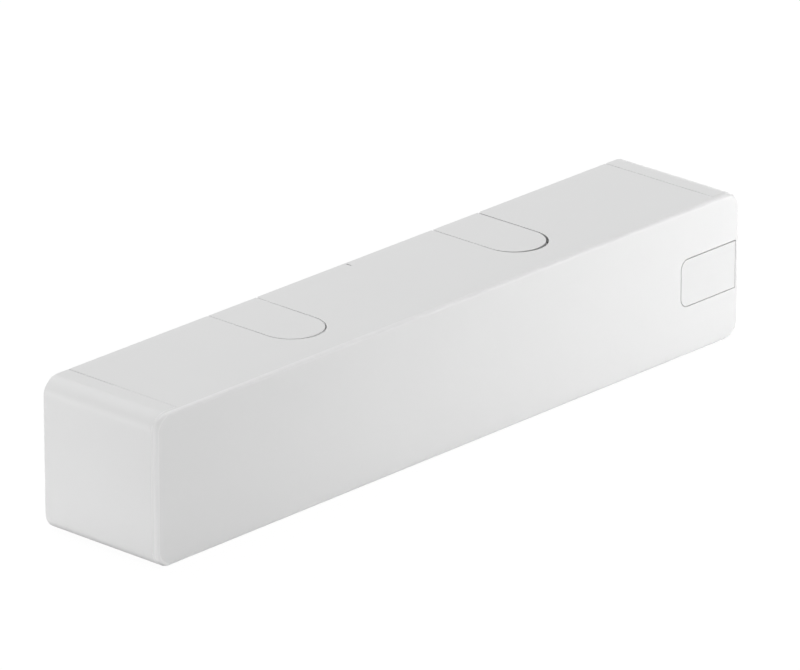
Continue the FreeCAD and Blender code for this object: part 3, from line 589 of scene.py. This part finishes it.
def brass():
    f = Finish("machined brass")
    cloud = f.noise(4.0, 3.0)
    turned = f.noise(0.25, 2.0)
    shade = f.mix(cloud, (0.62, 0.45, 0.19), (0.76, 0.60, 0.30))
    rough = 0.22 + 0.12 * turned
    normal = f.bump(turned, 0.002, f.soft_edge(0.2))
    return f.shade(Base_Color=shade, Metallic=1.0, Roughness=rough, Normal=normal)


def seal_rubber():
    f = Finish("seal rubber")
    cloud = f.noise(3.0, 3.0)
    shade = f.mix(cloud, (0.020, 0.020, 0.021), (0.042, 0.042, 0.043))
    return f.shade(Base_Color=shade, Roughness=0.52 + 0.15 * cloud)


FINISHES = {
    "cover_white": cover_white(), "badge_satin": badge_satin(), "zinc_plate": zinc_plate(),
    "cast_body": cast_body(), "plain_steel": plain_steel(), "spring_steel": spring_steel(),
    "black_screw": black_screw(), "brass": brass(), "seal_rubber": seal_rubber(),
}
DRESSED = set()
NODE_SLOTS = {part["node"]: part["material_slot"] for part in frame["record"]["subparts"]}


def dress(piece, slot):
    """Gives the piece the slot's finish alone."""
    piece.data.materials.clear()
    piece.data.materials.append(FINISHES[slot])
    return piece


def stand_in(piece, node, body):
    """The piece takes the CAD node's place, finish and body."""
    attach(piece, body)
    return take_place(piece, node)


def stretch_in(piece, node):
    """As stand_in, for a spring that reaches from one body to another along X."""
    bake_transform(piece)
    return take_place(piece, node)


def part_of(piece, name, x, side):
    """The share of the piece that lies to one side of x metres, closed at the cut."""
    bm = bmesh.new()
    bm.from_mesh(piece.data)
    geometry = bm.verts[:] + bm.edges[:] + bm.faces[:]
    cut = bmesh.ops.bisect_plane(bm, geom=geometry, plane_co=(x, 0, 0), plane_no=(side, 0, 0),
                                 clear_inner=True)
    rim = [item for item in cut["geom_cut"] if isinstance(item, bmesh.types.BMEdge)]
    bmesh.ops.edgeloop_fill(bm, edges=rim)
    return smooth(as_object(name, bm), 50)


def take_place(piece, node):
    """The piece takes the CAD node's place and finish."""
    dress(piece, NODE_SLOTS[node])
    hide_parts(node)
    DRESSED.add(node)
    return piece


for name, node in frame["nodes"].items():
    dress(node, NODE_SLOTS[name])

stand_in(front_shell(), "front_cover", "cover")
for side, sign in (("left", -1), ("right", 1)):
    stand_in(end_cap("cover_end_" + side, sign), "end_cap_" + side, "cover")
    for level, up in (("top", 1), ("bottom", -1)):
        place = level + "_" + side
        stand_in(tongue("slot_tongue_" + place, side, up), "slot_blank_" + place, "blank_" + place)
stand_in(badge(), "badge_plate", "cover")


# Pieces under the cover, in millimetres
SCREW_HEAD_R = 4.25
RIVET_HEAD_R = 2.8
CLIP_HALF_LENGTH = 9.0
CLIP_HALF_THICKNESS = 0.5
CLIP_FACE_Y = -4.0                  # front of the clip's foot, which the rivets' heads sit on
CLIP_ROWS_APART = 0.002             # the strip already has its height, so the rows start together

# Middle of the clip's strip, as height and Y
CLIP_FOOT = [(17.5, -3.5), (26.5, -3.5), (27.0, -3.7), (27.28, -4.1), (27.4, -4.7)]
CLIP_RIDGE = [(27.4, -14.9), (27.55, -15.5), (27.86, -16.4), (28.06, -17.0), (28.1, -17.4),
              (28.06, -17.8), (27.86, -18.4), (27.5, -19.4), (27.1, -20.8), (26.5, -22.5)]
CLIP_PATH = CLIP_FOOT + CLIP_RIDGE


def lathe(name, profile, steps=48):
    """Solid of revolution about Y: profile of (radius, y) from one end's middle to the other's."""
    loops = []
    for r, y in profile:
        ring = arc(0, 0, max(r, LATHE_CORE), 0, 360 - 360 / steps, steps - 1)
        loops.append([(x, y, z) for x, z in ring])
    return loft(name, loops)


def six_sided(name, flats, y0, y1, corner=None):
    """Hexagonal bar along Y. With corner, its y1 end is chamfered."""
    r = flats / 2 / math.cos(math.radians(30))
    bar = along_y(name, arc(0, 0, r, 0, 300, 5), y0, y1)    # six corners, 60 degrees apart
    if corner:
        out = 1 if y1 > y0 else -1
        profile = [(0, y0 - out), (r + 1, y0 - out), (r + 1, y1 - out * corner),
                   (r - corner * 1.7, y1), (0, y1)]
        carve(bar, [lathe("turned end", profile)], "INTERSECT")
    return bar


def middle(node):
    """Middle of the CAD node's box, in millimetres."""
    low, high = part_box(node)
    return (low + high) / 2 / MM


def move(piece, x=0.0, y=0.0, z=0.0):
    piece.data.transform(Matrix.Translation((x * MM, y * MM, z * MM)))
    return piece


def turn_to_x(piece, sign):
    """Turns a piece along Y so that its -Y end points along sign times X."""
    piece.data.transform(Matrix.Rotation(math.radians(90 * sign), 4, "Z"))
    return piece


def smooth(piece, angle=30):
    for polygon in piece.data.polygons:
        polygon.use_smooth = True
    piece.data.set_sharp_from_angle(angle=math.radians(angle))
    return piece


def grid_of(name, node, master, spacing, across, columns, rows, face_out):
    """Copies of the master in a grid on the plate. The lower row turns over if face_out is 1."""
    finish = FINISHES[NODE_SLOTS[node]]
    g = Pattern(name, {"Spacing": spacing * MM, "Across": across * MM, "Columns": columns,
                       "Rows": rows, "Turned over": float(face_out), "Master": master,
                       "Finish": finish})
    sizes = {"Size X": g.given("Spacing") * (g.given("Columns") - 1.0), "Size Y": g.given("Across"),
             "Vertices X": g.given("Columns"), "Vertices Y": g.given("Rows")}
    grid = g.node("GeometryNodeMeshGrid", sockets=sizes)
    upright = g.node("GeometryNodeTransform",
                     sockets={"Geometry": grid, "Rotation": (math.pi / 2, 0, 0)})
    place = g.node("GeometryNodeInputPosition")
    height = g.node("ShaderNodeSeparateXYZ", sockets={0: place}, output=2)
    over = height.sum("LESS_THAN", height, 0.0) * g.given("Turned over") * math.pi
    turn = g.node("ShaderNodeCombineXYZ", sockets={1: over})
    shape = g.node("GeometryNodeObjectInfo", sockets={"Object": g.given("Master")}, output="Geometry")
    copies = g.node("GeometryNodeInstanceOnPoints",
                    sockets={"Points": upright, "Instance": shape, "Rotation": turn})
    made = g.piece(name, copies)
    bpy.data.objects.remove(master)
    return made


def coil_spring(name, node, wire_r, mean_r, turns, closed):
    """Round wire spring along X, its end turns closed up."""
    low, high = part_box(node)
    finish = FINISHES[NODE_SLOTS[node]]
    g = Pattern(name, {"Wire radius": wire_r * MM, "Mean radius": mean_r * MM, "Turns": turns,
                       "Closed turns": closed, "Start": low.x, "Length": high.x - low.x,
                       "Axis Y": SLOT_Y * MM, "Finish": finish})
    wire, shut, total = g.given("Wire radius"), g.given("Closed turns"), g.given("Turns")
    line = g.node("GeometryNodeCurvePrimitiveLine", sockets={"End": (1.0, 0.0, 0.0)})
    points = g.node("GeometryNodeResampleCurve",
                    sockets={"Curve": line, "Count": round(turns * 40)})
    turn = g.node("GeometryNodeSplineParameter") * total
    tight = wire * 2.04                                # pitch of the closed turns
    open_turns = total - shut * 2.0
    pitch = (g.given("Length") - wire * 2.0 - tight * shut * 2.0) / open_turns
    at_start = turn.sum("MINIMUM", turn, shut)
    at_end = turn.sum("MAXIMUM", turn - total + shut, 0.0)
    along = tight * (at_start + at_end) + pitch * (turn - at_start - at_end)
    angle = turn * (2 * math.pi)
    place = {0: g.given("Start") + wire + along,
             1: g.given("Axis Y") + g.given("Mean radius") * angle.cosine(),
             2: g.given("Mean radius") * angle.sine()}
    where = g.node("ShaderNodeCombineXYZ", sockets=place)
    helix = g.node("GeometryNodeSetPosition", sockets={"Geometry": points, "Position": where})
    section = g.node("GeometryNodeCurvePrimitiveCircle", sockets={"Resolution": 18, "Radius": wire})
    tube = g.node("GeometryNodeCurveToMesh",
                  sockets={"Curve": helix, "Profile Curve": section, "Fill Caps": True})
    return smooth(g.piece(name, tube), 50)


def strip_clip(name):
    """Bent strip: foot on the plate, leg forward, and a ridge that holds the cover."""
    inner, outer = [], []
    for i, (z, y) in enumerate(CLIP_PATH):
        before, after = CLIP_PATH[max(i - 1, 0)], CLIP_PATH[min(i + 1, len(CLIP_PATH) - 1)]
        dz, dy = after[0] - before[0], after[1] - before[1]
        size = math.hypot(dz, dy)
        nz, ny = -dy / size * CLIP_HALF_THICKNESS, dz / size * CLIP_HALF_THICKNESS
        outer.append((z + nz, y + ny))
        inner.append((z - nz, y - ny))
    outline = outer + inner[::-1]
    ends = (-CLIP_HALF_LENGTH, CLIP_HALF_LENGTH)
    strip = loft(name, [[(x, y, z) for z, y in outline] for x in ends])
    return round_edges(strip, FINE_EDGE, segments=2, limit=50)


def socket_screw(name):
    """Cap screw with a hexagon socket, its head's face at y 0 and its shank along +Y."""
    profile = [(0, 0), (3.85, 0), (4.13, 0.12), (SCREW_HEAD_R, 0.4), (SCREW_HEAD_R, 4.95),
               (4.2, 5.0), (2.5, 5.0), (2.5, 16.6), (2.2, 16.95), (0, 16.95)]
    socket = six_sided("socket", flats=4.0, y0=-1.0, y1=2.5)
    lead_in = lathe("lead-in", [(0, -0.2), (2.75, -0.2), (2.2, 0.35), (0, 0.35)])
    return smooth(carve(lathe(name, profile), [socket, lead_in]))


def dome_rivet(name):
    """Rivet with a domed head 1 mm high, its shank along +Y."""
    turns = [math.radians(15 * i) for i in range(7)]
    dome = [(RIVET_HEAD_R * math.sin(turn), -1.0 * math.cos(turn)) for turn in turns]
    shank = [(RIVET_HEAD_R, 0.0), (1.6, 0.0), (1.6, 4.0), (0, 4.0)]
    return smooth(lathe(name, dome + shank, 36))


def speed_valve(name, node):
    """Regulating screw with a hexagon socket and a seal groove."""
    profile = [(0, 0), (2.7, 0), (3.0, 0.3), (3.0, 5.5), (2.1, 5.5), (2.1, 6.9), (3.0, 6.9),
               (3.0, 9.0), (1.0, 10.9), (0.8, 11.0), (0, 11.0)]
    socket = six_sided("socket", flats=2.5, y0=-1.0, y1=2.75)
    valve = carve(lathe(name, profile, 40), [socket])
    at = middle(node)
    return smooth(move(valve, at.x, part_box(node)[0].y / MM, at.z))


def end_plug(name, node, side, bore=None):
    """Threaded plug with a chamfered hexagonal head, seen end on."""
    low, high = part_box(node)
    outer = (high.x if side > 0 else -low.x) / MM
    profile = [(0, 4), (16.2, 4), (16.95, 4.7), (16.95, 8.1), (15.4, 8.1), (15.4, 10.5),
               (16.95, 10.5), (16.95, 16.5), (16.4, 17.0), (0, 17.0)]
    head = six_sided("head", flats=27.0, y0=4.2, y1=0.0, corner=0.7)
    plug = carve(lathe(name, profile, 72), [head], "UNION")
    if bore:
        carve(plug, [lathe("bore", [(0, -1), (bore, -1), (bore, 18), (0, 18)], 40)])
    turn_to_x(plug, side)
    return smooth(move(plug, side * outer, SLOT_Y))


def fine_copy(node):
    """The CAD node's own shape as one smooth mesh."""
    piece = frame["nodes"][node].copy()
    piece.data = piece.data.copy()
    piece.name = node + "_dressed"
    piece.parent = None
    for key in list(piece.keys()):
        del piece[key]
    bpy.context.scene.collection.objects.link(piece)
    bm = bmesh.new()
    bm.from_mesh(piece.data)
    bmesh.ops.remove_doubles(bm, verts=bm.verts, dist=COPY_DOUBLES * MM)
    bmesh.ops.dissolve_degenerate(bm, edges=bm.edges, dist=COPY_DOUBLES / 2 * MM)
    bm.to_mesh(piece.data)
    bm.free()
    return weigh_normals(smooth(piece, 28))


low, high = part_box("body_screws")
screws = grid_of("body_screws_four", "body_screws", move(socket_screw("screw"), y=low.y / MM),
                 2 * (high.x / MM - SCREW_HEAD_R), 2 * (high.z / MM - SCREW_HEAD_R), 2, 2, 0)
stand_in(screws, "body_screws", "root")
low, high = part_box("clip_rivets")
rivets = grid_of("clip_rivets_six", "clip_rivets", move(dome_rivet("rivet"), y=CLIP_FACE_Y),
                 high.x / MM - RIVET_HEAD_R, 2 * (high.z / MM - RIVET_HEAD_R), 3, 2, 1)
stand_in(rivets, "clip_rivets", "root")
low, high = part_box("cover_clips")
clips = grid_of("cover_clips_six", "cover_clips", strip_clip("clip"),
                high.x / MM - CLIP_HALF_LENGTH, CLIP_ROWS_APART, 3, 2, 1)
stand_in(clips, "cover_clips", "root")
closing = coil_spring("closing_coil", "closing_spring",
                      wire_r=2.75, mean_r=13.6, turns=10.5, closed=1.0)
damper = coil_spring("damper_coil", "damper_spring",
                     wire_r=1.2, mean_r=11.0, turns=4.5, closed=0.75)
low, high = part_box("closing_spring")
rest_x = low.x / 2 + high.x / 2                        # the closing spring's middle stays put
left_half = part_of(closing, "closing_coil_left", rest_x, -1)
right_half = part_of(closing, "closing_coil_right", rest_x, 1)
stretch_in(left_half, "closing_spring")
stretch_in(right_half, "closing_spring")
bpy.data.objects.remove(closing)
stretch_in(damper, "damper_spring")
for valve in ("closing_speed_valve", "latching_speed_valve", "backcheck_valve"):
    stand_in(speed_valve(valve + "_screw", valve), valve, valve)
stand_in(end_plug("damper_plug", "damper_end_plug", -1), "damper_end_plug", "root")
stand_in(end_plug("spring_plug", "spring_end_plug", 1, 4.05), "spring_end_plug", "root")
for body, members in frame["record"]["behaviour"]["bodies"].items():
    for node in members:
        if node not in DRESSED:
            stand_in(fine_copy(node), node, body)


# Studio, in metres, degrees and watts
FLOOR_REACH = 6.0
FLOOR_GAP = 0.00002                 # under the closer
FLOOR_THICKNESS = 0.005
FLOOR_WHITE = (0.92, 0.92, 0.92, 1.0)
FLOOR_SHADOW = 0.05                 # share of its own light and shadow that is seen
SEEN_WHITE = 1.02                   # strength of the backdrop where it is seen
SKY_LIGHT = 0.3                     # strength with which the sky lights the closer
CAMERA_TURN, CAMERA_RISE, CAMERA_ROLL = -47.163, 21.264, -0.09
CAMERA_TARGET = (0.0, -0.0288, 0.00698)
CAMERA_DISTANCE = 3.625
CAMERA_ASIDE, CAMERA_ABOVE = 0.00059, 0.00149
SENSOR, LENS = 36.0, 415.0          # in millimetres


def seen_rays(graph):
    """1 where the backdrop is seen, directly, mirrored or through glass, 0 where it only lights."""
    direct = graph.node("ShaderNodeLightPath", output="Is Camera Ray")
    return (direct + direct.beside("Is Glossy Ray") + direct.beside("Is Transmission Ray")).clamp()


def stage_white(name, share):
    """White towards the camera, with a share of its own light and shadow left."""
    f = Finish(name)
    seen = seen_rays(f)
    plain = f.node("ShaderNodeBsdfDiffuse", sockets={"Color": FLOOR_WHITE})
    white = f.node("ShaderNodeEmission",
                   sockets={"Color": (1.0, 1.0, 1.0, 1.0), "Strength": SEEN_WHITE})
    sockets = {0: seen * (1 - share), 1: plain, 2: white}
    return f.output(f.node("ShaderNodeMixShader", sockets=sockets))


def floor():
    size, z = FLOOR_REACH / MM, -HALF_HEIGHT - FLOOR_GAP / MM
    plane = brick("floor", -size, size, -size, size, z - FLOOR_THICKNESS / MM, z)
    plane.data.materials.append(stage_white("floor white", FLOOR_SHADOW))


def lamp(name, place, target, size, watts):
    """Rectangular lamp that faces the target. Its size is in metres."""
    data = bpy.data.lights.new(name, "AREA")
    data.shape = "RECTANGLE"
    data.size, data.size_y = size
    data.energy = watts
    made = bpy.data.objects.new(name, data)
    made.location = place
    direction = Vector(target) - Vector(place)
    made.rotation_euler = direction.to_track_quat("-Z", "Y").to_euler()
    bpy.context.scene.collection.objects.link(made)


class Sky(Graph):
    """The world's light, white where it is seen."""

    def __init__(self, strength):
        sky = bpy.data.worlds.new("studio")
        bpy.context.scene.world = sky
        sky.use_nodes = True
        self.tree = sky.node_tree
        self.tree.nodes.clear()
        level = strength + (SEEN_WHITE - strength) * seen_rays(self)
        light = self.node("ShaderNodeBackground", sockets={"Strength": level})
        self.end("ShaderNodeOutputWorld", {"Surface": light})


def camera():
    """Long lens from the front left, a little above, as in the photo."""
    turn, rise, roll = map(math.radians, (CAMERA_TURN, CAMERA_RISE, CAMERA_ROLL))
    back = Vector((math.sin(turn) * math.cos(rise), -math.cos(turn) * math.cos(rise), math.sin(rise)))
    level = Vector((math.cos(turn), math.sin(turn), 0.0))
    upright = back.cross(level)
    right = level * math.cos(roll) + upright * math.sin(roll)
    up = upright * math.cos(roll) - level * math.sin(roll)
    data = bpy.data.cameras.new("camera")
    data.sensor_width = SENSOR
    data.lens = LENS
    data.clip_end = 50.0
    made = bpy.data.objects.new("camera", data)
    place = Vector(CAMERA_TARGET) + back * CAMERA_DISTANCE
    place += right * CAMERA_ASIDE + up * CAMERA_ABOVE
    made.matrix_world = Matrix.Translation(place) @ Matrix((right, up, back)).transposed().to_4x4()
    bpy.context.scene.collection.objects.link(made)
    bpy.context.scene.camera = made


floor()
Sky(SKY_LIGHT)
lamp("front right", (0.42, -0.45, 0.02), (0.16, -0.06, 0.0), (0.25, 0.08), 1.14)
lamp("front left", (-0.9, -0.9, 0.04), (-0.16, -0.05, 0.0), (0.4, 0.12), 1.22)
lamp("low front", (0.06, -0.28, 0.05), (0.06, -0.28, -1.0), (0.36, 0.06), 0.13)
lamp("low left", (-0.28, -0.03, 0.01), (-0.28, -0.03, -1.0), (0.06, 0.08), 0.022)
lamp("above", (0.0, -0.1, 1.6), (0.0, 0.0, 0.0), (1.4, 1.4), 12.0)
lamp("above behind", (0.0, 1.2, 1.1), (0.0, 0.0, 0.0), (1.4, 0.8), 5.9)
lamp("above right", (0.6, 0.4, 0.8), (0.1, -0.03, 0.0), (0.5, 0.5), 0.52)
lamp("left end", (-0.5, 0.2, 0.03), (-0.17, -0.02, 0.0), (0.25, 0.10), 0.385)
lamp("right end", (0.8, 0.2, 0.08), (0.17, 0.0, 0.0), (0.3, 0.12), 0.8)
lamp("behind", (0.0, 1.1, 0.12), (0.0, 0.0, 0.0), (0.8, 0.2), 4.0)
camera()
bpy.context.scene.view_settings.view_transform = "Standard"
